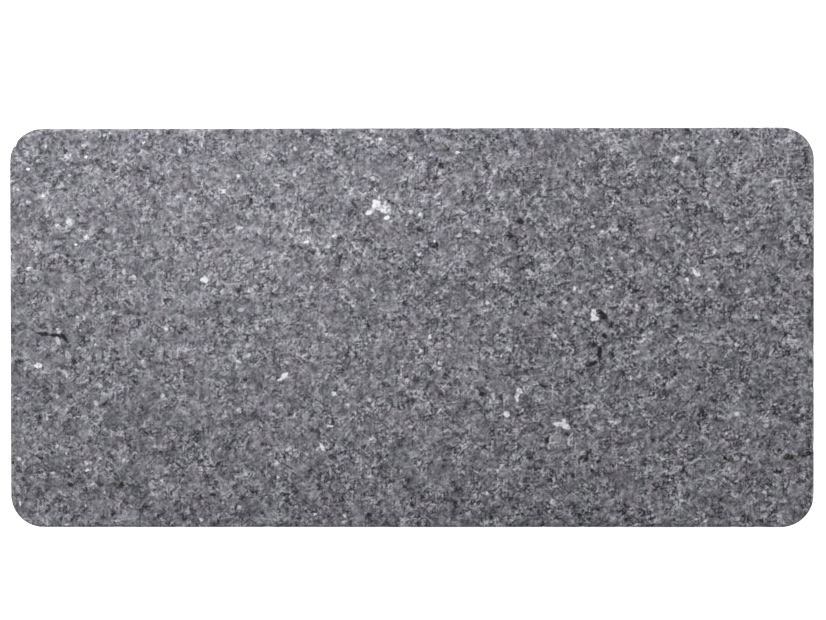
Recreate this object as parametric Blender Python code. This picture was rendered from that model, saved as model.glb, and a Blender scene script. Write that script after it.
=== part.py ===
"""Basalt massage stone: one slab of natural stone, sawn flat, rounded at its corners and honed.

The slab lies on its underside, with its length along X, its width along Y and its thickness along Z.
The origin is at the middle of the underside, and every size is in metres.
"""

import bmesh
import bpy
from mathutils import Matrix, Vector

# The slab's three overall sizes.
LENGTH = 0.200
WIDTH = 0.0994
THICKNESS = 0.020

# Radius of each of the four upright corners, seen from above.
CORNER_RADIUS = 0.0082

# Radius of the eased edge that runs round both large faces.
ARRIS_RADIUS = 0.0006

# Straight strips that make up a quarter turn of each rounding.
CORNER_STRIPS = 20
ARRIS_STRIPS = 5

# Colour, roughness and metallic value of honed dry basalt.
BASALT_COLOUR = (0.175, 0.174, 0.190, 1.0)
BASALT_ROUGHNESS = 0.75
BASALT_METALLIC = 0.0

# How far an edge or a face may be off true and still count as upright or level.
TRUE_WITHIN = 1e-4

# Faces that meet at less than this angle, in radians, are shaded as one smooth surface.
SMOOTH_UNDER = 0.6


def clear_scene():
    """Remove everything that is in the scene."""
    for thing in list(bpy.data.objects):
        bpy.data.objects.remove(thing, do_unlink=True)


def basalt():
    """Return the stone's material."""
    material = bpy.data.materials.new("basalt")
    material.use_nodes = True
    shader = material.node_tree.nodes["Principled BSDF"]
    shader.inputs["Base Color"].default_value = BASALT_COLOUR
    shader.inputs["Roughness"].default_value = BASALT_ROUGHNESS
    shader.inputs["Metallic"].default_value = BASALT_METALLIC
    return material


def sawn_block(bm):
    """Make the sharp-edged block that the slab is worked from, standing on its underside."""
    block = bmesh.ops.create_cube(bm, size=1.0)
    bmesh.ops.scale(bm, verts=block["verts"], vec=Vector((LENGTH, WIDTH, THICKNESS)))
    bmesh.ops.transform(bm, verts=block["verts"], matrix=Matrix.Translation((0, 0, THICKNESS / 2)))


def is_upright(edge):
    """Tell whether an edge runs straight up the slab's side."""
    run = (edge.verts[1].co - edge.verts[0].co).normalized()
    return abs(run.z) > 1 - TRUE_WITHIN


def borders_large_face(edge):
    """Tell whether an edge lies between the underside or the top and the slab's side."""
    level = [abs(face.normal.z) > 1 - TRUE_WITHIN for face in edge.link_faces]
    return any(level) and not all(level)


def round_edges(bm, edges, radius, strips):
    """Round the given edges to a radius, as a number of straight strips."""
    bmesh.ops.bevel(
        bm,
        geom=edges,
        affect="EDGES",
        offset_type="OFFSET",
        offset=radius,
        segments=strips,
        profile=0.5,
        clamp_overlap=True,
    )
    bm.normal_update()


def basalt_slab():
    """Build the stone: round its upright corners first, then ease both outlines."""
    bm = bmesh.new()
    sawn_block(bm)
    bm.normal_update()
    round_edges(bm, [e for e in bm.edges if is_upright(e)], CORNER_RADIUS, CORNER_STRIPS)
    round_edges(bm, [e for e in bm.edges if borders_large_face(e)], ARRIS_RADIUS, ARRIS_STRIPS)
    mesh = bpy.data.meshes.new("basalt_slab")
    bm.to_mesh(mesh)
    bm.free()
    mesh.shade_smooth()
    mesh.set_sharp_from_angle(angle=SMOOTH_UNDER)
    mesh.materials.append(basalt())
    slab = bpy.data.objects.new("basalt_slab", mesh)
    bpy.context.scene.collection.objects.link(slab)
    return slab


clear_scene()
basalt_slab()
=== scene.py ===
"""Basalt massage stone: the finished look of one honed slab of speckled grey stone, on a white table.

Lengths are in metres unless a name or a note says millimetres. The slab lies on its underside at z = 0.
"""

import logging
import math
from collections.abc import Callable
from dataclasses import dataclass, field
from enum import Enum, unique
from typing import Any

import bmesh
import bpy
from mathutils import Matrix, Vector, noise

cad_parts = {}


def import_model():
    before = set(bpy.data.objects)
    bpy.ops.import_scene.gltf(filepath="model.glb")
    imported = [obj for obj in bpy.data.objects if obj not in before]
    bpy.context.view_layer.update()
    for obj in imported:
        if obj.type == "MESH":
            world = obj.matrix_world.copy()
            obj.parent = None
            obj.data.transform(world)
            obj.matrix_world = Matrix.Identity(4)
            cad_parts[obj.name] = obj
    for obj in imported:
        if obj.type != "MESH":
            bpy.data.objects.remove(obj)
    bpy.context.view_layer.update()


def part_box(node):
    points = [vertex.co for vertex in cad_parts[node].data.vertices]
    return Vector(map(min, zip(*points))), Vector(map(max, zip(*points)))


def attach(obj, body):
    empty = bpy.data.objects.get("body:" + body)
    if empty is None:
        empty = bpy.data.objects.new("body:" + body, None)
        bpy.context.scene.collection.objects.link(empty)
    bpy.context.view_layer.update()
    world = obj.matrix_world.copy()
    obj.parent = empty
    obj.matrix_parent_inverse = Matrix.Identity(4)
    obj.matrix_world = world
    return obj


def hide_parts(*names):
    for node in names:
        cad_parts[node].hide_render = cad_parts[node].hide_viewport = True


LOG = logging.getLogger("basalt_massage_stone")

MM = 0.001
STONE_BODY = "root"
STONE_NODE = "basalt_slab"
STONE_PIECE = "basalt_stone"

Pair = tuple[float, float]
Triple = tuple[float, float, float]

# What a shader socket takes: a number, a point or colour, or the output that carries one.
Signal = float | Triple | bpy.types.NodeSocket

NOWHERE: Triple = (0.0, 0.0, 0.0)
WHOLE: Triple = (1.0, 1.0, 1.0)
WHITE = (1.0, 1.0, 1.0, 1.0)


@unique
class Mineral(Enum):
    """What a large grain is made of, with how much lighter than the ground it is, from -1 to 1."""

    WHITE_FELDSPAR = 0.43
    GREY_FELDSPAR = 0.24
    OLIVINE = -0.22
    PYROXENE = -0.19
    MAGNETITE = -0.37


# For each mineral, the output that is 1 inside its large grains.
GrainPatterns = dict[Mineral, Signal]


class Element(Enum):
    """What is selected in a mesh, with the name of the list that holds it."""

    EDGE = "edges"
    FACE = "faces"


def select(thing: bpy.types.Object, element: Element, wanted: Callable[[Any], bool]) -> None:
    """Select only those edges or faces of a mesh that pass a test.

    Args:
        thing: the mesh object, in edit mode.
        element: whether edges or faces are selected.
        wanted: a function of one of them that says whether it is selected.
    """
    bpy.ops.mesh.select_mode(type=element.name)
    bpy.ops.mesh.select_all(action="DESELECT")
    bm = bmesh.from_edit_mesh(thing.data)
    for part in getattr(bm, element.value):
        if wanted(part):
            part.select_set(True)
    bmesh.update_edit_mesh(thing.data)


@dataclass(frozen=True)
class Grain:
    """One grain that is large enough to be seen by itself in the upper face.

    Its place is in millimetres from the middle of the face, and its turn is in degrees.
    """

    x: float
    y: float
    length: float
    width: float
    turn: float = 0.0


@dataclass
class Wiring:
    """Adds shader nodes to one material and joins them.

    A node is added after the ones that feed it. They are worked out in that order with little room for
    results that wait, and a stone with many that wait comes out black.
    """

    tree: bpy.types.NodeTree

    def add(self, kind: str, **settings: Any) -> bpy.types.Node:
        """Add a node of a kind, with its settings.

        Args:
            kind: the node's type name, without the leading ShaderNode.
            settings: attributes to set on it.

        Returns:
            The new node.
        """
        node = self.tree.nodes.new("ShaderNode" + kind)
        for name, value in settings.items():
            setattr(node, name, value)
        return node

    def feed(self, socket: bpy.types.NodeSocket, value: Signal) -> None:
        """Give an input socket a value, or join it to the output that is passed.

        Args:
            socket: the input.
            value: a number, a colour, a vector or an output socket.
        """
        if isinstance(value, bpy.types.NodeSocket):
            self.tree.links.new(value, socket)
        else:
            socket.default_value = value

    def math(self, operation: str, first: Signal, second: Signal = 0.0, third: Signal = 0.0) -> Signal:
        """Work out one number from up to three.

        Args:
            operation: the name of the sum, such as ADD.
            first: the first number or output.
            second: the second.
            third: the third, for those that take it.

        Returns:
            The output that carries the result.
        """
        node = self.add("Math", operation=operation)
        for socket, value in zip(node.inputs, (first, second, third)):
            self.feed(socket, value)
        return node.outputs[0]

    def ramp(self, value: Signal, low: float, high: float, first: float = 0.0, last: float = 1.0) -> Signal:
        """Stretch a number from one range to another, with a soft start and end.

        Args:
            value: the number or output.
            low: where the old range starts.
            high: where it ends.
            first: where the new range starts.
            last: where it ends.

        Returns:
            The output that carries the stretched number.
        """
        node = self.add("MapRange", interpolation_type="SMOOTHSTEP")
        for socket, number in zip(node.inputs, (value, low, high, first, last)):
            self.feed(socket, number)
        return node.outputs[0]

    def noise(self, place: Signal, scale: float, detail: float = 0.0, rough: float = 0.5) -> Signal:
        """Make a cloudy pattern.

        Args:
            place: the point that it is read at.
            scale: lumps to a millimetre.
            detail: how many finer layers are added.
            rough: how strong each finer layer is beside the one before.

        Returns:
            The output from 0 to 1, with its middle near one half.
        """
        node = self.add("TexNoise")
        self.feed(node.inputs["Vector"], place)
        self.feed(node.inputs["Scale"], scale)
        self.feed(node.inputs["Detail"], detail)
        self.feed(node.inputs["Roughness"], rough)
        return node.outputs["Fac"]

    def cells(self, place: Signal, scale: float) -> bpy.types.Node:
        """Make a pattern of close-packed grains.

        Args:
            place: the point that it is read at.
            scale: grains to a millimetre.

        Returns:
            The node, whose Distance and Color outputs tell the grains apart.
        """
        node = self.add("TexVoronoi")
        self.feed(node.inputs["Vector"], place)
        self.feed(node.inputs["Scale"], scale)
        return node

    def fitted(self, place: Signal, share: Signal, shift: Signal) -> Signal:
        """Multiply a point by three shares and move it.

        Args:
            place: the point.
            share: what each of its three numbers is multiplied by.
            shift: what is then added to each.

        Returns:
            The output that carries the point.
        """
        node = self.add("VectorMath", operation="MULTIPLY_ADD")
        for socket, value in zip(node.inputs, (place, share, shift)):
            self.feed(socket, value)
        return node.outputs[0]

    def placed(
        self, place: Signal, spot: Triple = NOWHERE, size: Triple = WHOLE, turn: float = 0.0
    ) -> Signal:
        """Read a point in a pattern's own directions and in shares of its own size.

        Args:
            place: the point, in millimetres.
            spot: the pattern's middle.
            size: how much it is stretched along each of its own directions.
            turn: how far it is turned about the upright, in radians.

        Returns:
            The output that carries the point.
        """
        node = self.add("Mapping", vector_type="TEXTURE")
        self.feed(node.inputs["Vector"], place)
        self.feed(node.inputs["Location"], spot)
        self.feed(node.inputs["Rotation"], (0.0, 0.0, turn))
        self.feed(node.inputs["Scale"], size)
        return node.outputs[0]

    def centred(self, pattern: Signal) -> Signal:
        """Move a pattern that runs from 0 to 1 down by one half, so that it is about nothing."""
        return self.math("SUBTRACT", pattern, 0.5)

    def distance(self, place: Signal, share: Triple, shift: Triple) -> Signal:
        """Measure how far a point is from a middle, in shares of a half size.

        Args:
            place: the point.
            share: one over the half size along each direction, or 0 where it doesn't count.
            shift: where the middle is, in the same shares, with its sign turned.

        Returns:
            The output that carries the distance, which is 1 on the outline.
        """
        here = self.fitted(place, share, shift)
        node = self.add("VectorMath", operation="LENGTH")
        self.feed(node.inputs[0], here)
        return node.outputs["Value"]

    def drifted(self, place: Signal, scale: float, reach: float) -> Signal:
        """Push points about at random, so that what is drawn there gets a ragged outline.

        Args:
            place: the point, in millimetres.
            scale: lumps to a millimetre.
            reach: how far apart two points may be pushed, in millimetres.

        Returns:
            The output that carries the moved point.
        """
        drift = self.add("TexNoise")
        self.feed(drift.inputs["Vector"], place)
        self.feed(drift.inputs["Scale"], scale)
        self.feed(drift.inputs["Detail"], 1.0)
        centred = self.fitted(drift.outputs["Color"], (reach,) * 3, (-reach / 2,) * 3)
        moved = self.add("VectorMath", operation="ADD")
        self.feed(moved.inputs[0], centred)
        self.feed(moved.inputs[1], place)
        return moved.outputs[0]


@dataclass(frozen=True)
class Inclusions:
    """The large grains of one mineral in the upper face, as a pattern that is 1 inside them and 0 outside.

    A grain starts to fade at the first of the two shares of its half width, and is gone at the second.
    """

    mineral: Mineral
    grains: tuple[Grain, ...]
    depth: float = 0.8
    fades_from: float = 0.58
    fades_to: float = 0.82

    def pattern(self, wiring: Wiring, place: Signal, level: float) -> Signal:
        """Build the pattern as one soft ball for each grain, stretched, turned and joined to the rest.

        Args:
            wiring: the material's nodes.
            place: the point, in millimetres.
            level: the height of the upper face, in millimetres.

        Returns:
            The output that carries the pattern.
        """
        swell = 1.0 / (self.fades_from + self.fades_to)
        # Any distance past where a grain is gone will do to start from.
        nearest = 2.0 * self.fades_to
        for turn in sorted({grain.turn for grain in self.grains}):
            back = Matrix.Rotation(math.radians(-turn), 3, "Z")
            turned = wiring.fitted(wiring.placed(place, turn=math.radians(turn)), WHOLE, NOWHERE)
            for grain in (grain for grain in self.grains if grain.turn == turn):
                size = Vector((grain.length * swell, grain.width * swell, self.depth))
                spot = back @ Vector((grain.x, grain.y, level))
                share = [1.0 / side for side in size]
                shift = [-middle / side for middle, side in zip(spot, size)]
                nearest = wiring.math("MINIMUM", nearest, wiring.distance(turned, share, shift))
        return wiring.ramp(nearest, self.fades_from, self.fades_to, 1.0, 0.0)


INCLUSIONS = (
    Inclusions(
        Mineral.WHITE_FELDSPAR,
        (
            # The large cluster left of the middle of the far half.
            Grain(-8.6, 31.0, 2.4, 1.5, -40),
            Grain(-9.2, 30.4, 1.6, 1.0, 65),
            Grain(-10.5, 28.7, 1.7, 1.1, 20),
            Grain(-6.1, 27.4, 1.4, 1.0, 20),
            # The white neighbour of the blackest grain, right of the middle.
            Grain(45.3, 3.4, 2.5, 1.4, 90),
            Grain(45.4, 2.2, 2.0, 1.1, 10),
            # The bright bar in the near half, right of the middle.
            Grain(36.7, -24.0, 3.0, 1.1, -5),
            Grain(38.2, -24.4, 2.9, 1.5, -25),
            Grain(37.8, -23.4, 1.7, 1.1, 90),
            # Along the left end.
            Grain(-93.0, -9.3, 2.1, 1.4, 5),
            Grain(-95.4, 39.6, 1.0, 0.7, 0),
            Grain(-89.5, -36.1, 1.2, 0.7, 0),
            Grain(-80.9, -35.3, 1.0, 1.0, 0),
            Grain(-97.6, -43.8, 1.2, 0.5, 90),
            # Far and near edges, and the rest.
            Grain(-7.6, 47.0, 1.0, 1.0, 0),
            Grain(11.5, 43.5, 1.2, 0.7, 0),
            Grain(68.5, 12.0, 0.9, 0.8, 0),
            Grain(23.7, -21.5, 1.5, 1.4, 0),
            Grain(70.2, 14.1, 1.6, 0.7, -70),
            Grain(70.9, 13.2, 1.6, 0.8, -15),
            Grain(26.8, -15.7, 1.7, 1.3, -50),
            Grain(26.4, -16.6, 2.0, 1.1, 55),
            Grain(-31.7, -11.9, 2.8, 1.0, 43),
            Grain(-22.2, -29.7, 2.3, 0.8, -56),
            Grain(-20.1, -24.4, 1.9, 0.6, -5),
            Grain(-51.5, 12.0, 2.0, 1.7, 0),
        ),
    ),
    Inclusions(
        Mineral.GREY_FELDSPAR,
        (
            # The greyer tail of the large cluster, and what lies round it.
            Grain(-9.3, 29.8, 2.8, 1.2, 65),
            Grain(-6.7, 29.6, 3.4, 1.7, -20),
            Grain(-8.0, 29.5, 1.2, 0.6, 0),
            Grain(-7.0, 29.0, 1.4, 0.9, -10),
            Grain(-6.0, 30.0, 1.2, 0.7, 90),
            Grain(-6.5, 31.0, 1.0, 0.6, 70),
            Grain(-5.5, 30.5, 1.0, 0.6, 90),
            Grain(-5.0, 28.5, 1.5, 0.6, -15),
            Grain(-5.0, 26.5, 1.2, 0.7, 10),
            Grain(-8.0, 32.5, 0.8, 0.5, 80),
            Grain(-9.0, 34.5, 0.7, 0.6, 90),
            Grain(-11.5, 33.5, 1.0, 0.5, 30),
            Grain(-1.0, 26.0, 0.8, 0.8, 0),
            Grain(0.0, 33.0, 1.2, 0.6, 85),
            Grain(-9.5, 37.0, 1.2, 1.0, 0),
            Grain(0.0, 42.5, 1.5, 1.2, 90),
            Grain(6.5, 33.0, 2.5, 0.6, 36),
            Grain(12.0, 34.0, 1.0, 0.7, 0),
            Grain(19.0, 22.5, 1.2, 0.7, -20),
            Grain(12.0, 23.0, 1.2, 1.0, 30),
            Grain(16.5, 13.5, 1.0, 0.7, 20),
            Grain(17.5, 9.5, 1.0, 0.7, 20),
            Grain(21.0, 11.5, 1.0, 0.7, 0),
            # Round the blackest grain.
            Grain(40.5, 9.5, 1.5, 0.6, 65),
            Grain(42.0, 9.0, 1.2, 0.8, -20),
            Grain(56.0, 4.5, 1.2, 0.7, -40),
            Grain(56.0, 5.5, 1.0, 0.7, 90),
            Grain(53.5, 1.5, 1.5, 0.7, -10),
            Grain(54.5, 1.0, 1.0, 0.7, 80),
            Grain(55.6, -6.2, 2.5, 0.8, 30),
            Grain(57.4, -3.2, 1.5, 0.9, 30),
            # The far left corner.
            Grain(-85.5, 43.0, 2.0, 1.5, 20),
            Grain(-80.5, 42.5, 1.5, 1.0, 0),
            Grain(-81.5, 45.5, 1.5, 0.7, 0),
            Grain(-82.0, 33.5, 1.0, 0.7, 0),
            Grain(-85.0, 38.0, 0.8, 0.7, 0),
            Grain(-91.5, 33.0, 1.0, 1.0, 0),
            Grain(-75.0, 48.5, 1.0, 0.7, 90),
            Grain(-99.0, 35.0, 1.2, 0.4, 90),
            Grain(-98.0, 34.5, 1.0, 0.4, 0),
            Grain(-85.0, 26.5, 2.2, 1.7, 0),
            # The left end.
            Grain(-88.0, -3.3, 2.6, 1.1, -62),
            Grain(-85.6, -6.7, 2.1, 1.3, -65),
            Grain(-86.0, -12.0, 1.5, 0.7, 90),
            Grain(-80.5, -10.0, 1.0, 0.7, 90),
            Grain(-82.5, -0.5, 0.8, 0.7, 0),
            Grain(-81.5, 2.5, 1.2, 0.7, 90),
            Grain(-77.5, -14.5, 1.0, 0.8, 0),
            Grain(-84.5, -10.5, 0.8, 0.7, 0),
            Grain(-85.5, -34.5, 0.8, 0.7, 0),
            Grain(-80.0, -33.5, 0.8, 0.7, 0),
            Grain(-77.5, -32.5, 0.7, 0.6, 0),
            Grain(-76.0, -32.5, 0.7, 0.6, 0),
            Grain(-94.0, -34.5, 1.0, 0.7, 0),
            Grain(-85.5, -44.5, 1.0, 0.7, 90),
            Grain(-87.5, -41.0, 1.0, 0.6, 90),
            Grain(-79.5, -39.0, 0.8, 0.7, 0),
            Grain(-86.0, -49.0, 1.2, 0.7, 0),
            Grain(-73.5, -48.0, 1.0, 0.7, 0),
            # The left half.
            Grain(-47.0, 34.0, 2.0, 1.2, 20),
            Grain(-42.5, 25.0, 1.5, 1.0, 0),
            Grain(-40.0, 9.5, 1.7, 1.2, 20),
            Grain(-61.0, 0.0, 2.0, 1.0, 80),
            Grain(-57.5, 44.0, 1.5, 1.0, 90),
            Grain(-29.0, 38.5, 2.0, 1.0, 80),
            Grain(-33.5, 35.5, 1.7, 0.7, 0),
            Grain(-26.0, 21.5, 1.5, 0.7, 20),
            Grain(-42.5, 4.5, 2.0, 1.0, 10),
            Grain(-32.6, -12.9, 1.4, 1.1, 30),
            Grain(-21.0, -12.0, 1.8, 0.9, 75),
            Grain(-20.5, -22.0, 0.8, 0.7, 0),
            Grain(-23.3, -30.1, 1.6, 0.7, 42),
            Grain(-20.2, -23.5, 1.0, 0.6, 90),
            Grain(-16.0, -19.0, 1.0, 0.7, 0),
            Grain(-65.0, -43.5, 1.0, 0.7, 0),
            Grain(-60.5, 31.0, 1.0, 0.7, 0),
            Grain(-46.5, 43.5, 1.0, 0.7, 0),
            Grain(-14.5, 5.5, 1.0, 0.7, 0),
            # The right half.
            Grain(65.6, 41.8, 2.3, 1.4, 25),
            Grain(67.3, 38.3, 1.5, 0.8, -40),
            Grain(70.1, 38.9, 1.0, 0.6, -5),
            Grain(90.5, 36.5, 2.2, 1.0, 0),
            Grain(85.0, 45.5, 1.0, 0.7, 0),
            Grain(24.5, 44.0, 1.0, 1.0, 0),
            Grain(75.0, 14.0, 1.5, 0.5, 0),
            Grain(64.0, 14.0, 1.0, 0.7, -30),
            Grain(74.0, 9.5, 1.0, 0.8, 0),
            Grain(69.0, 9.5, 0.9, 0.7, 90),
            Grain(68.5, -7.0, 1.7, 0.7, 60),
            Grain(26.3, -17.9, 1.1, 0.9, -60),
            Grain(20.3, -16.6, 0.9, 0.8, 0),
            Grain(28.0, -15.0, 1.5, 0.6, 90),
            Grain(27.5, -20.5, 1.1, 0.7, 80),
            Grain(55.5, -26.5, 1.0, 0.8, 0),
            Grain(39.1, -28.2, 2.4, 0.8, 90),
            Grain(39.7, -26.6, 1.4, 0.6, 60),
            # The near right corner.
            Grain(83.5, -28.0, 1.0, 1.0, 0),
            Grain(71.5, -32.5, 1.0, 0.7, 0),
            Grain(93.5, -35.0, 1.2, 0.6, 25),
            Grain(90.5, -36.5, 1.2, 0.7, 0),
            Grain(94.5, -38.5, 1.2, 0.7, -25),
            Grain(74.5, -37.5, 1.7, 0.7, 0),
            Grain(87.5, -41.0, 1.2, 0.7, 0),
            Grain(85.0, -40.5, 1.0, 0.6, 0),
            Grain(93.0, -43.0, 1.0, 0.6, 0),
            Grain(67.5, -43.0, 2.0, 0.7, 0),
            Grain(81.0, -47.5, 1.0, 1.0, 0),
            Grain(70.5, -47.5, 1.0, 0.7, 0),
            Grain(73.0, -48.0, 1.0, 0.7, 0),
            Grain(79.5, -39.0, 1.0, 0.5, 90),
        ),
    ),
    Inclusions(
        Mineral.MAGNETITE,
        (
            # The blackest grain, right of the middle, and the trail that runs down from it.
            Grain(47.7, 3.1, 2.9, 1.4, -50),
            Grain(48.0, -2.0, 1.5, 1.0, -40),
            Grain(45.1, -8.9, 2.4, 0.9, 25),
            Grain(46.8, -6.4, 3.4, 1.1, 80),
            # The short dark crack at the left end.
            Grain(-91.6, -1.4, 3.4, 1.0, -8),
            Grain(-88.9, -1.8, 3.2, 0.8, -6),
            Grain(-86.4, -2.5, 2.4, 0.8, -55),
            # Elsewhere.
            Grain(24.5, 23.0, 1.5, 1.5, 0),
            Grain(33.6, -28.2, 1.8, 1.2, 85),
        ),
        fades_from=0.35,
        fades_to=1.05,
    ),
    Inclusions(
        Mineral.PYROXENE,
        (
            # Round the blackest grain.
            Grain(49.5, 0.5, 2.0, 0.9, 80),
            Grain(45.5, 8.0, 1.0, 0.9, 0),
            Grain(55.5, 9.0, 2.0, 1.0, 25),
            Grain(36.0, 13.0, 1.2, 1.0, 0),
            Grain(32.0, 8.0, 2.2, 0.8, 10),
            Grain(37.5, 4.0, 1.2, 0.6, -35),
            Grain(45.0, 0.0, 1.7, 0.6, -50),
            Grain(42.5, 0.0, 1.5, 0.6, -35),
            Grain(39.0, 7.0, 1.0, 0.8, 90),
            Grain(40.5, 1.0, 1.0, 0.7, 0),
            # Round the large cluster.
            Grain(-10.5, 32.5, 1.0, 0.6, 0),
            Grain(-11.5, 32.5, 1.0, 0.6, 0),
            Grain(-10.0, 34.5, 1.1, 1.0, 0),
            Grain(-5.5, 31.5, 0.8, 0.8, 0),
            Grain(-4.5, 31.0, 0.8, 0.6, 0),
            Grain(1.0, 34.5, 0.7, 0.6, 0),
            Grain(-10.5, 22.0, 1.7, 1.2, 20),
            Grain(5.5, 20.5, 2.5, 1.5, 0),
            Grain(9.0, 12.0, 2.2, 0.9, 0),
            Grain(27.0, 26.5, 2.0, 1.5, -20),
            # The left half.
            Grain(-72.5, 47.5, 2.0, 0.7, 90),
            Grain(-74.0, 39.5, 1.5, 0.7, 0),
            Grain(-86.5, 34.5, 2.2, 0.7, 0),
            Grain(-94.0, 34.0, 2.0, 0.6, -30),
            Grain(-80.5, 45.0, 1.0, 1.0, 0),
            Grain(-86.0, 44.0, 1.0, 1.0, 0),
            Grain(-92.5, -32.5, 1.2, 1.0, 0),
            Grain(-84.5, -35.5, 0.7, 0.7, 0),
            Grain(-85.0, -39.0, 1.2, 1.2, 0),
            Grain(-77.5, -39.0, 1.7, 1.2, 0),
            Grain(-74.5, -46.0, 2.0, 1.5, 90),
            Grain(-97.0, -37.5, 1.0, 0.9, 0),
            Grain(-49.5, -41.5, 1.5, 1.0, 0),
            Grain(-42.5, -42.5, 1.5, 1.0, 0),
            Grain(-63.0, -47.0, 1.2, 1.0, 0),
            Grain(-20.0, -32.0, 1.5, 1.2, 30),
            Grain(-10.5, -46.5, 1.2, 1.0, 0),
            # The right half.
            Grain(43.0, -32.5, 2.2, 1.7, 20),
            Grain(34.5, -38.0, 1.5, 1.2, 0),
            Grain(45.0, -35.5, 1.2, 1.0, 0),
            Grain(33.5, -45.5, 1.2, 1.0, 0),
            Grain(11.0, -44.0, 2.0, 1.2, 90),
            Grain(17.5, -16.5, 1.2, 1.2, 0),
            Grain(65.0, -11.5, 2.0, 1.5, 70),
            Grain(72.5, -21.5, 2.0, 1.5, 0),
            Grain(73.5, -27.0, 1.2, 1.0, 0),
            Grain(60.0, -28.0, 1.2, 1.0, 0),
            Grain(59.5, -47.5, 1.2, 1.0, 0),
            Grain(63.5, 10.0, 1.7, 1.0, 0),
            Grain(28.5, 3.5, 1.5, 1.0, 0),
            Grain(69.7, 41.7, 2.6, 1.3, -15),
            Grain(22.4, -17.3, 1.6, 1.4, 0),
            Grain(39.0, -25.0, 1.0, 0.6, 80),
            Grain(38.5, -26.5, 1.5, 0.7, -30),
            Grain(87.5, 20.0, 1.2, 0.7, 90),
            Grain(86.0, -26.5, 1.5, 0.7, 90),
            Grain(82.0, -31.5, 1.0, 0.7, 0),
            Grain(68.5, -36.5, 1.2, 0.7, 90),
            Grain(82.5, -36.0, 0.7, 0.6, 90),
            Grain(90.5, -45.5, 1.2, 1.0, 0),
            Grain(87.0, -48.0, 1.2, 1.0, 0),
        ),
    ),
    Inclusions(
        Mineral.OLIVINE,
        (
            Grain(78.8, -32.6, 2.4, 2.0, 0),
            Grain(93.6, -32.2, 2.8, 1.4, 5),
            Grain(96.6, -31.8, 2.4, 1.1, 10),
            Grain(98.8, -31.4, 1.8, 1.0, 0),
            Grain(57.5, 5.0, 1.5, 1.1, 30),
            Grain(8.5, 44.5, 2.0, 1.5, 0),
            Grain(-72.5, -39.0, 2.2, 1.5, 90),
            Grain(2.0, 24.5, 2.2, 1.0, -20),
        ),
        fades_from=0.35,
        fades_to=1.05,
    ),
)


@dataclass(frozen=True)
class CloudAndLightPatch:
    """One broad soft patch, from the underside to the upper face: partly the rock's own clouding, partly
    painted light and shade.

    Its middle, half length and half width are in millimetres, and its shade is how much lighter it is.
    """

    x: float
    y: float
    half_length: float
    half_width: float
    shade: float

    def pattern(self, wiring: Wiring, place: Signal) -> Signal:
        """Build the pattern that is the shade in the middle and fades to 0 at the outline.

        Args:
            wiring: the material's nodes.
            place: the point, in millimetres.

        Returns:
            The output that carries the pattern.
        """
        share = (1.0 / self.half_length, 1.0 / self.half_width, 0.0)
        shift = (-self.x / self.half_length, -self.y / self.half_width, 0.0)
        return wiring.ramp(wiring.distance(place, share, shift), 0.0, 1.0, self.shade, 0.0)


CLOUDS_AND_PAINTED_LIGHT = (
    # Paler rock in the left half, partly its own clouding and partly painted light, and painted light at
    # the two ends, where the lamps leave them darker.
    CloudAndLightPatch(-38.0, 20.0, 34.0, 36.0, 0.036),
    CloudAndLightPatch(-98.0, 0.0, 12.0, 12.0, 0.025),
    CloudAndLightPatch(99.0, 34.0, 18.0, 26.0, 0.042),
    CloudAndLightPatch(98.0, -14.0, 16.0, 14.0, 0.022),
    CloudAndLightPatch(98.0, -47.0, 16.0, 14.0, 0.036),
    # Painted shade along the near side, where the light falls off towards the near edge.
    CloudAndLightPatch(12.0, -52.0, 84.0, 30.0, -0.036),
    CloudAndLightPatch(62.0, -49.0, 13.0, 13.0, -0.028),
    CloudAndLightPatch(17.0, -41.0, 15.0, 12.0, -0.018),
    CloudAndLightPatch(-48.0, -46.0, 15.0, 12.0, -0.024),
    CloudAndLightPatch(-96.0, -38.0, 14.0, 16.0, -0.018),
    # Darker spots elsewhere, partly the rock's own clouding and partly painted shade.
    CloudAndLightPatch(-99.0, 45.0, 17.0, 17.0, -0.034),
    CloudAndLightPatch(12.0, 47.0, 15.0, 13.0, -0.030),
    CloudAndLightPatch(-10.0, 45.0, 11.0, 12.0, -0.018),
    CloudAndLightPatch(37.0, -8.0, 11.0, 11.0, -0.042),
    CloudAndLightPatch(24.0, -2.0, 11.0, 11.0, -0.018),
    CloudAndLightPatch(50.0, 20.0, 17.0, 14.0, -0.022),
    CloudAndLightPatch(-37.0, 15.0, 10.0, 10.0, -0.032),
)


@dataclass(frozen=True)
class Flecks:
    """Small grains of uneven size, scattered all through the stone.

    They have so many places to a millimetre, a share of which hold one. The largest grain's radius is a
    share of the space between two places, and the shade is how much lighter than the ground they are.
    """

    scale: float
    share: float
    radius: float
    shade: float
    shift: Triple = NOWHERE
    soft_rim: float = 0.10

    def pattern(self, wiring: Wiring, place: Signal) -> Signal:
        """Build the pattern that is 1 inside a grain and 0 outside.

        Args:
            wiring: the material's nodes.
            place: the point, in millimetres.

        Returns:
            The output that carries the pattern.
        """
        cells = wiring.cells(wiring.placed(place, self.shift), self.scale)
        split = wiring.add("SeparateColor")
        wiring.feed(split.inputs[0], cells.outputs["Color"])
        size = wiring.ramp(split.outputs[0], 1.0 - self.share, 1.0, 0.0, self.radius)
        inside = wiring.math("SUBTRACT", size, cells.outputs["Distance"])
        return wiring.ramp(inside, 0.0, self.soft_rim)


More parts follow.
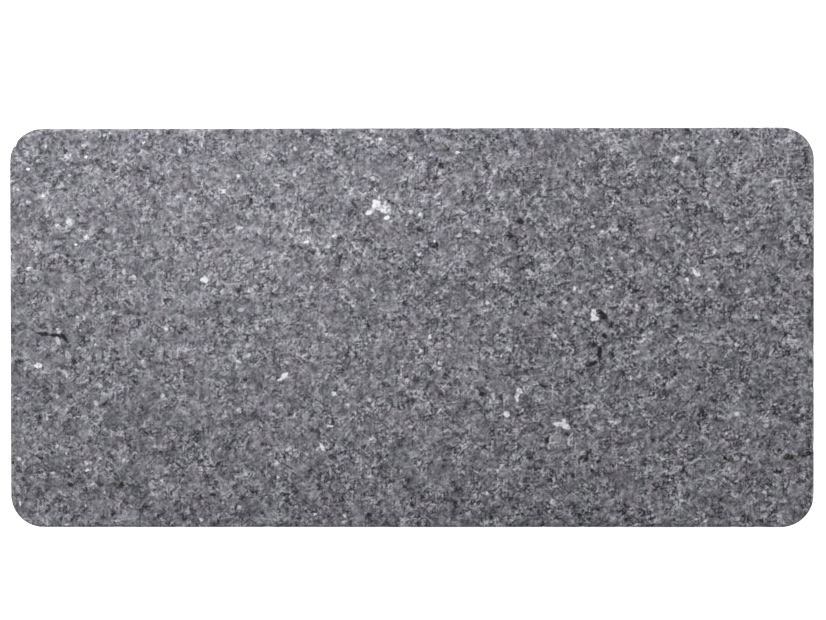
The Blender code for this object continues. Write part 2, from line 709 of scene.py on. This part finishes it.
@dataclass(frozen=True)
class BasaltFinish:
    """Honed dry basalt: a mid grey ground of felted light and dark crystals, with larger grains in it.

    Scales are lumps or grains to a millimetre, and strengths are shares of the range from black to white.
    """

    name: str = "basalt"
    ground: float = 0.452
    darkest: float = 0.10
    lightest: float = 0.89
    albedo: float = 0.84
    tone_gamma: float = 2.2
    tint: Triple = (0.0026, 0.0, 0.0238)
    gloss: float = 0.35
    # Dark grains are rougher than pale ones: from the first tone and roughness to the second.
    rough_tones: Pair = (0.2, 0.9)
    roughness: Pair = (0.82, 0.54)
    # Each cloud layer is a scale and a strength, and all use the same shares of finer layers.
    clouds: tuple[Pair, ...] = ((0.045, 0.06), (0.16, 0.195), (0.62, 0.385))
    finer_share: float = 0.6
    crumb_scale: float = 1.5
    crumb_strength: float = 0.266
    cell_scale: float = 1.3
    cell_strength: float = 0.133
    # Scale and reach, in millimetres, of what makes the grains' outlines ragged.
    cell_drift: Pair = (1.7, 1.0)
    grain_drift: Pair = (1.2, 0.6)
    lath_turns: tuple[float, ...] = (8.0, 47.0, 88.0, 139.0)
    lath_shift: float = 0.37
    lath_size: Triple = (1.7, 0.48, 0.48)
    lath_strength: float = 0.152
    # A crystal shows where its pattern is past the first number, and is full at the second.
    pale_laths: Pair = (0.60, 0.80)
    dark_laths: Pair = (0.40, 0.22)
    # The fine grains stand out more in some areas, and a little more towards the near right corner.
    area_scale: float = 0.33
    area_range: Pair = (0.34, 0.66)
    area_contrast: Pair = (0.62, 1.38)
    contrast_drift: Triple = (0.0013, -0.0014, 0.0)
    flecks: tuple[Flecks, ...] = (
        Flecks(0.42, 0.35, 0.30, 0.255),
        Flecks(0.36, 0.35, 0.32, -0.15, (13.0, 7.0, 3.0)),
        Flecks(0.36, 0.15, 0.17, 0.38, (3.0, 9.0, 5.0)),
        Flecks(0.33, 0.12, 0.17, -0.22, (5.0, 3.0, 11.0)),
    )
    # The stains' scale and strength, and what the olive grains take from the blue.
    stain_scale: float = 0.30
    stain_strength: float = 0.0185
    pink_shift: Triple = (41.0, 9.0, 2.0)
    warm_on_blue: float = -0.7
    olive_on_blue: float = -0.03
    bump_scale: float = 2.4
    bump_depth: float = 0.02 * MM

    def material(self, level: float) -> bpy.types.Material:
        """Build the stone's material.

        Args:
            level: the height of the upper face, in millimetres.

        Returns:
            The material.
        """
        material = bpy.data.materials.new(self.name)
        material.use_nodes = True
        wiring = Wiring(material.node_tree)
        shader = material.node_tree.nodes["Principled BSDF"]
        coordinates = wiring.add("TexCoord")
        place = wiring.fitted(coordinates.outputs["Object"], (1 / MM,) * 3, NOWHERE)
        ragged = wiring.drifted(place, *self.grain_drift)
        grains = {kind.mineral: kind.pattern(wiring, ragged, level) for kind in INCLUSIONS}
        tone = self.tone(wiring, place, grains)
        wiring.feed(shader.inputs["Base Color"], self.coloured(wiring, place, tone, grains))
        wiring.feed(shader.inputs["Roughness"], wiring.ramp(tone, *self.rough_tones, *self.roughness))
        wiring.feed(shader.inputs["Specular IOR Level"], self.gloss)
        bump = wiring.add("Bump")
        wiring.feed(bump.inputs["Distance"], self.bump_depth)
        wiring.feed(bump.inputs["Height"], wiring.noise(place, self.bump_scale, 1.0, self.finer_share))
        wiring.feed(shader.inputs["Normal"], bump.outputs[0])
        return material

    def coloured(self, wiring: Wiring, place: Signal, tone: Signal, grains: GrainPatterns) -> Signal:
        """Turn the tone into a colour: a bluish grey with faint olive and pinkish stains.

        Args:
            wiring: the material's nodes.
            place: the point, in millimetres.
            tone: how light the stone is there, from 0 to 1.
            grains: where the large grains of each mineral are.

        Returns:
            The output that carries the colour.
        """
        full = self.stain_strength
        warm = wiring.centred(wiring.noise(place, self.stain_scale, 1.0))
        moved = wiring.placed(place, self.pink_shift)
        pink = wiring.centred(wiring.noise(moved, self.stain_scale, 1.0))
        red_shares = (full, full, 0.0)
        green_shares = (full, -full, 0.0)
        blue_shares = (self.warm_on_blue * full, 0.0, self.olive_on_blue)
        shares = (red_shares, green_shares, blue_shares)
        colour = wiring.add("CombineColor")
        for socket, tint, (by_warm, by_pink, by_olive) in zip(colour.inputs, self.tint, shares):
            shade = wiring.math("ADD", tone, tint)
            shade = wiring.math("MULTIPLY_ADD", warm, by_warm, shade)
            shade = wiring.math("MULTIPLY_ADD", pink, by_pink, shade)
            shade = wiring.math("MULTIPLY_ADD", grains[Mineral.OLIVINE], by_olive, shade)
            light = wiring.math("POWER", shade, self.tone_gamma)
            wiring.feed(socket, wiring.math("MULTIPLY", light, self.albedo))
        return colour.outputs[0]

    def felt(self, wiring: Wiring, place: Signal) -> tuple[Signal, Signal]:
        """Lay thin straight crystals over each other in several directions.

        Args:
            wiring: the material's nodes.
            place: the point, in millimetres.

        Returns:
            The outputs that are 1 on a pale crystal and on a dark one, and 0 off them.
        """
        lightest, darkest = 0.0, 1.0
        for turn in self.lath_turns:
            spot = (self.lath_shift * turn, 0.0, 0.0)
            lain = wiring.placed(place, spot, self.lath_size, math.radians(turn))
            crystal = wiring.noise(lain, 1.0)
            lightest = wiring.math("MAXIMUM", lightest, crystal)
            darkest = wiring.math("MINIMUM", darkest, crystal)
        return wiring.ramp(lightest, *self.pale_laths), wiring.ramp(darkest, *self.dark_laths)

    def fine(self, wiring: Wiring, place: Signal, ragged: Signal) -> Signal:
        """Build the fine grains: close-packed cells, felted crystals and crumbs.

        Args:
            wiring: the material's nodes.
            place: the point, in millimetres.
            ragged: the same point, pushed about.

        Returns:
            The output that carries how much lighter than the ground they are.
        """
        cells = wiring.cells(ragged, self.cell_scale)
        split = wiring.add("SeparateColor")
        wiring.feed(split.inputs[0], cells.outputs["Color"])
        fine = wiring.math("MULTIPLY", wiring.centred(split.outputs[0]), self.cell_strength)
        pale, dark = self.felt(wiring, place)
        fine = wiring.math("MULTIPLY_ADD", wiring.math("SUBTRACT", pale, dark), self.lath_strength, fine)
        crumb = wiring.centred(wiring.noise(place, self.crumb_scale, 1.0, self.finer_share))
        return wiring.math("MULTIPLY_ADD", crumb, self.crumb_strength, fine)

    def contrast(self, wiring: Wiring, place: Signal) -> Signal:
        """Build how strongly the fine grains stand out, about 1.

        Args:
            wiring: the material's nodes.
            place: the point, in millimetres.

        Returns:
            The output that carries it.
        """
        along = wiring.add("VectorMath", operation="DOT_PRODUCT")
        wiring.feed(along.inputs[0], place)
        wiring.feed(along.inputs[1], self.contrast_drift)
        drift = wiring.math("ADD", along.outputs["Value"], 1.0)
        area = wiring.noise(place, self.area_scale, 1.0)
        uneven = wiring.ramp(area, *self.area_range, *self.area_contrast)
        return wiring.math("MULTIPLY", uneven, drift)

    def larger(self, wiring: Wiring, ragged: Signal, grains: GrainPatterns) -> Signal:
        """Join the flecks and the large grains, of which the palest and the darkest win where they overlap.

        Args:
            wiring: the material's nodes.
            ragged: the point, in millimetres, pushed about.
            grains: where the large grains of each mineral are.

        Returns:
            The output that carries how much lighter than the ground they are.
        """
        layers = [(fleck.pattern(wiring, ragged), fleck.shade) for fleck in self.flecks]
        layers += [(pattern, mineral.value) for mineral, pattern in grains.items()]
        lightest, darkest = 0.0, 0.0
        for pattern, strength in layers:
            shade = wiring.math("MULTIPLY", pattern, strength)
            if strength > 0.0:
                lightest = wiring.math("MAXIMUM", lightest, shade)
            else:
                darkest = wiring.math("MINIMUM", darkest, shade)
        return wiring.math("ADD", lightest, darkest)

    def tone(self, wiring: Wiring, place: Signal, grains: GrainPatterns) -> Signal:
        """Build how light the stone is at a point, from 0 to 1.

        Args:
            wiring: the material's nodes.
            place: the point, in millimetres.
            grains: where the large grains of each mineral are.

        Returns:
            The output that carries it.
        """
        tone = self.ground
        for scale, strength in self.clouds:
            cloud = wiring.centred(wiring.noise(place, scale, 1.0, self.finer_share))
            tone = wiring.math("MULTIPLY_ADD", cloud, strength, tone)
        # Broad patches: partly the rock's own clouding, with painted light at the two ends and painted
        # shade along the near side.
        for patch in CLOUDS_AND_PAINTED_LIGHT:
            tone = wiring.math("ADD", tone, patch.pattern(wiring, place))
        ragged = wiring.drifted(place, *self.cell_drift)
        fine = self.fine(wiring, place, ragged)
        tone = wiring.math("MULTIPLY_ADD", fine, self.contrast(wiring, place), tone)
        tone = wiring.math("ADD", tone, self.larger(wiring, ragged, grains))
        tone = wiring.math("MAXIMUM", tone, self.darkest)
        return wiring.math("MINIMUM", tone, self.lightest)


@dataclass(frozen=True)
class Wear:
    """How far the honed and handled surface lies inside the sawn slab.

    Lengths are in millimetres, and scales are lumps to a millimetre.
    """

    sway: float = 0.03
    sway_scale: float = 0.035
    rub: float = 0.04
    rub_scale: float = 0.9
    chip: float = 0.30
    chip_scale: float = 0.32
    chip_shift: Triple = (7.0, 3.0, 1.0)
    chips_above: float = 0.30
    chip_steepness: float = 4.0
    arris_reach: float = 0.55
    nick: Triple = (-98.6, 45.7, 20.0)
    nick_reach: Triple = (0.5, 0.5, 3.0)
    nick_depth: float = 0.6

    def lumps(self, spot: Vector, scale: float) -> float:
        """Return how high a lumpy pattern is at a point, mostly from 0 to 1 and never below."""
        return max(0.0, 0.5 + 0.5 * noise.noise(spot * scale))

    def depth(self, spot: Vector, off_arris: float) -> float:
        """Work out how far one point is worn in.

        Args:
            spot: the point, in millimetres.
            off_arris: how far it is from the nearest eased edge.

        Returns:
            The depth.
        """
        broad = self.sway * self.lumps(spot, self.sway_scale)
        near = math.exp(-((off_arris / self.arris_reach) ** 2))
        rubbed = self.rub * self.lumps(spot, self.rub_scale)
        over = noise.noise(spot * self.chip_scale + Vector(self.chip_shift)) - self.chips_above
        chipped = self.chip * min(1.0, max(0.0, over) * self.chip_steepness)
        sides = zip(spot, self.nick, self.nick_reach)
        off_nick = Vector([(here - there) / reach for here, there, reach in sides])
        nicked = self.nick_depth * math.exp(-off_nick.length_squared)
        return broad + near * (rubbed + chipped) + nicked


@dataclass
class StoneSlab:
    """The stone: a sawn slab with rounded corners, eased outlines and a honed surface."""

    corner_radius: float = 8.2 * MM
    arris_radius: float = 0.6 * MM
    cell: float = 0.75 * MM
    corner_strips: int = 18
    arris_strips: int = 5
    nearly_all: float = 0.9
    level_within: float = 0.15 * MM
    merge_within: float = 0.0075 * MM
    low: Vector = field(default_factory=lambda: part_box(STONE_NODE)[0])
    high: Vector = field(default_factory=lambda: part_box(STONE_NODE)[1])

    def spans(self, edge: Any, axis: int, run: float) -> bool:
        """Tell whether an edge goes nearly all of a run along one axis."""
        return abs(edge.verts[0].co[axis] - edge.verts[1].co[axis]) > self.nearly_all * run

    def cells_along(self, run: float) -> int:
        """Return how many cells a straight run is divided into: a multiple of three."""
        return 3 * max(1, round(run / (3 * self.cell)))

    def divide(self, run: float) -> None:
        """Divide the selected edges into cells, in two steps: a third as many first, then each in three.

        Args:
            run: how long each of the edges is.
        """
        bpy.ops.mesh.subdivide(number_cuts=self.cells_along(run) // 3 - 1)
        bpy.ops.mesh.subdivide(number_cuts=2)

    def outline(self) -> bpy.types.Object:
        """Draw the slab's outline on the ground: a rectangle with round corners, divided into cells.

        Returns:
            The outline, in edit mode.
        """
        size = self.high - self.low
        bpy.ops.object.select_all(action="DESELECT")
        bpy.ops.mesh.primitive_plane_add(size=1.0)
        slab = bpy.context.object
        slab.name = slab.data.name = STONE_PIECE
        slab.scale = (size.x, size.y, 1.0)
        bpy.ops.object.transform_apply(location=True, rotation=True, scale=True)
        bpy.ops.object.mode_set(mode="EDIT")
        bpy.ops.mesh.select_all(action="SELECT")
        bpy.ops.mesh.bevel(
            affect="VERTICES", offset=self.corner_radius, segments=self.corner_strips, profile=0.5
        )
        bpy.ops.mesh.select_all(action="SELECT")
        bpy.ops.mesh.delete(type="ONLY_FACE")
        for axis in (0, 1):
            run = size[axis] - 2 * self.corner_radius
            select(slab, Element.EDGE, lambda edge, axis=axis, run=run: self.spans(edge, axis, run))
            self.divide(run)
        return slab

    def raise_sides(self, slab: bpy.types.Object) -> None:
        """Fill the outline, pull it up to the slab's thickness and ease both outlines.

        Args:
            slab: the outline, in edit mode.
        """
        thickness = self.high.z - self.low.z
        bpy.ops.mesh.select_all(action="SELECT")
        bpy.ops.mesh.edge_face_add()
        bpy.ops.mesh.extrude_region_move(TRANSFORM_OT_translate={"value": (0, 0, thickness)})
        bpy.ops.mesh.select_all(action="SELECT")
        bpy.ops.mesh.normals_make_consistent(inside=False)
        select(slab, Element.EDGE, lambda edge: any(len(face.verts) > 4 for face in edge.link_faces))
        bpy.ops.mesh.bevel(
            affect="EDGES", offset=self.arris_radius, segments=self.arris_strips, profile=0.5
        )

    def fill_faces(self, slab: bpy.types.Object) -> None:
        """Lay an even grid of cells over both large faces and up the sides.

        Args:
            slab: the slab, in edit mode, which it leaves.
        """
        size = self.high - self.low
        select(slab, Element.FACE, lambda face: len(face.verts) > 4)
        bpy.ops.mesh.delete(type="ONLY_FACE")
        span = self.cells_along(size.x - 2 * self.corner_radius) + self.corner_strips
        corner = Vector((1.0, 1.0, 0.0))
        for level in (self.low.z, self.high.z):

            def borders(edge: Any, level: float = level) -> bool:
                """Tell whether an edge runs round the open face at this level."""
                return edge.is_boundary and abs(edge.verts[0].co.z - level) < self.level_within

            select(slab, Element.EDGE, borders)
            bpy.ops.mesh.select_mode(type="VERT")
            bm = bmesh.from_edit_mesh(slab.data)
            start = max((vert for vert in bm.verts if vert.select), key=lambda v: v.co.dot(corner))
            bm.select_history.clear()
            bm.select_history.add(start)
            bmesh.update_edit_mesh(slab.data)
            bpy.ops.mesh.fill_grid(span=span)
        rise = size.z - 2 * self.arris_radius
        select(slab, Element.EDGE, lambda edge: self.spans(edge, 2, rise))
        bpy.ops.mesh.subdivide(number_cuts=self.cells_along(rise) - 1)
        bpy.ops.mesh.select_all(action="SELECT")
        bpy.ops.mesh.remove_doubles(threshold=self.merge_within)
        bpy.ops.mesh.normals_make_consistent(inside=False)
        bpy.ops.object.mode_set(mode="OBJECT")

    def off_arris(self, spot: Vector) -> float:
        """Measure how far a point on the slab is from the nearest eased edge.

        Args:
            spot: the point.

        Returns:
            The distance.
        """
        half = (self.high - self.low) / 2
        middle = (self.high + self.low) / 2
        over = [abs(spot[axis] - middle[axis]) - half[axis] + self.corner_radius for axis in (0, 1)]
        outside = math.hypot(max(over[0], 0.0), max(over[1], 0.0))
        inset = self.corner_radius - outside - min(max(over), 0.0)
        drop = half.z - abs(spot.z - middle.z)
        return max(inset, drop)

    def wear_in(self, slab: bpy.types.Object) -> None:
        """Move every point inwards by how far the surface is worn there.

        Args:
            slab: the finished shape.
        """
        wear = Wear()
        inward = [-vert.normal for vert in slab.data.vertices]
        for vert, way in zip(slab.data.vertices, inward):
            depth = wear.depth(vert.co / MM, self.off_arris(vert.co) / MM)
            vert.co += way * depth * MM
        slab.data.update()

    def build(self) -> bpy.types.Object:
        """Model the stone and give it its finish.

        Returns:
            The stone.
        """
        slab = self.outline()
        self.raise_sides(slab)
        self.fill_faces(slab)
        self.wear_in(slab)
        slab.data.shade_smooth()
        slab.data.materials.append(BasaltFinish().material(self.high.z / MM))
        return slab


@dataclass(frozen=True)
class SoftLamp:
    """One soft lamp that faces the stone: its strength in watts, its width and height, and its place."""

    name: str
    power: float
    size: Pair
    spot: Triple
    aim: Triple = (0.0, 0.0, 0.02)

    def hang(self) -> None:
        """Hang the lamp where the camera can't see it."""
        lamp = bpy.data.lights.new(self.name, "AREA")
        lamp.shape = "RECTANGLE"
        lamp.size, lamp.size_y = self.size
        lamp.energy = self.power
        hung = bpy.data.objects.new(self.name, lamp)
        bpy.context.scene.collection.objects.link(hung)
        hung.location = self.spot
        hung.visible_camera = False
        way = Vector(self.aim) - Vector(self.spot)
        hung.rotation_euler = way.to_track_quat("-Z", "Y").to_euler()


@dataclass
class Studio:
    """A white table inside a white cove, two soft lamps over the far side, and a camera straight above.

    The camera's lean and roll are in degrees, and its lens and sensor are in millimetres.
    """

    table_glow: float = 0.9
    table_albedo: float = 0.7
    table_roughness: float = 0.9
    table_gloss: float = 0.1
    table_reach: float = 3.0
    table_sides: int = 96
    cove_rise: float = 1.2
    cove_steps: int = 8
    world_light: float = 0.37
    # The main lamp is over the far left, and the weak one is past the right end.
    lamps: tuple[SoftLamp, ...] = (
        SoftLamp("soft_lamp", 0.917, (0.36, 0.20), (-0.068, 0.167, 0.172)),
        SoftLamp("fill_lamp", 0.14, (0.20, 0.20), (0.34, 0.21, 0.08)),
    )
    aim: Triple = (0.00041, 0.00443, 0.019)
    camera_distance: float = 0.60
    camera_lean: Pair = (0.84, 0.71)
    camera_roll: float = -0.065
    lens: float = 105.0
    sensor: float = 36.0
    seen_between: Pair = (0.01, 20.0)

    def white(self) -> bpy.types.Material:
        """Build the table's material: white, lit from below.

        Returns:
            The material.
        """
        material = bpy.data.materials.new("white_table")
        material.use_nodes = True
        shader = material.node_tree.nodes["Principled BSDF"]
        shader.inputs["Base Color"].default_value = (self.table_albedo,) * 3 + (1.0,)
        shader.inputs["Roughness"].default_value = self.table_roughness
        shader.inputs["Specular IOR Level"].default_value = self.table_gloss
        shader.inputs["Emission Color"].default_value = WHITE
        shader.inputs["Emission Strength"].default_value = self.table_glow
        return material

    def table(self) -> bpy.types.Object:
        """Build the round table top and the low wall that it curves up into.

        Returns:
            The table.
        """
        bpy.ops.object.select_all(action="DESELECT")
        bpy.ops.mesh.primitive_circle_add(
            vertices=self.table_sides, radius=self.table_reach, fill_type="NGON"
        )
        table = bpy.context.object
        table.name = table.data.name = "white_table"
        bpy.ops.object.mode_set(mode="EDIT")
        bpy.ops.mesh.select_all(action="SELECT")
        reach, height = self.table_reach, 0.0
        for step in range(1, self.cove_steps + 1):
            turn = math.radians(90 * step / self.cove_steps)
            wider = self.table_reach + self.cove_rise * math.sin(turn)
            higher = self.cove_rise * (1 - math.cos(turn))
            select(table, Element.EDGE, lambda edge: edge.is_boundary)
            bpy.ops.mesh.extrude_edges_move(TRANSFORM_OT_translate={"value": (0, 0, higher - height)})
            bpy.ops.transform.resize(value=(wider / reach, wider / reach, 1.0))
            reach, height = wider, higher
        bpy.ops.object.mode_set(mode="OBJECT")
        table.data.shade_smooth()
        table.data.materials.append(self.white())
        return table

    def lights(self) -> None:
        """Hang the lamps, and light the room evenly."""
        for lamp in self.lamps:
            lamp.hang()
        world = bpy.data.worlds.new("room")
        world.use_nodes = True
        sky = world.node_tree.nodes["Background"]
        sky.inputs["Color"].default_value = WHITE
        sky.inputs["Strength"].default_value = self.world_light
        bpy.context.scene.world = world

    def camera(self) -> bpy.types.Object:
        """Hang the camera above the stone, a hair off upright towards the far right.

        Returns:
            The camera.
        """
        eye = bpy.data.cameras.new("overhead")
        eye.lens = self.lens
        eye.sensor_width = self.sensor
        eye.clip_start, eye.clip_end = self.seen_between
        hung = bpy.data.objects.new("overhead", eye)
        bpy.context.scene.collection.objects.link(hung)
        far, right = (math.radians(lean) for lean in self.camera_lean)
        hung.rotation_euler = (-far, right, math.radians(self.camera_roll))
        back = hung.rotation_euler.to_matrix() @ Vector((0.0, 0.0, 1.0))
        hung.location = Vector(self.aim) + back * self.camera_distance
        bpy.context.scene.camera = hung
        bpy.context.scene.view_settings.view_transform = "Standard"
        return hung

    def build(self) -> None:
        """Set up the table, the light and the camera."""
        self.camera()
        self.table()
        self.lights()


def main() -> None:
    """Build the stone and the studio round it."""
    logging.basicConfig(level=logging.INFO, format="%(name)s: %(message)s")
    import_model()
    Studio().build()
    stone = StoneSlab().build()
    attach(stone, STONE_BODY)
    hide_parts(STONE_NODE)
    LOG.info("%s: %d faces", stone.name, len(stone.data.polygons))


if __name__ == "__main__":
    main()
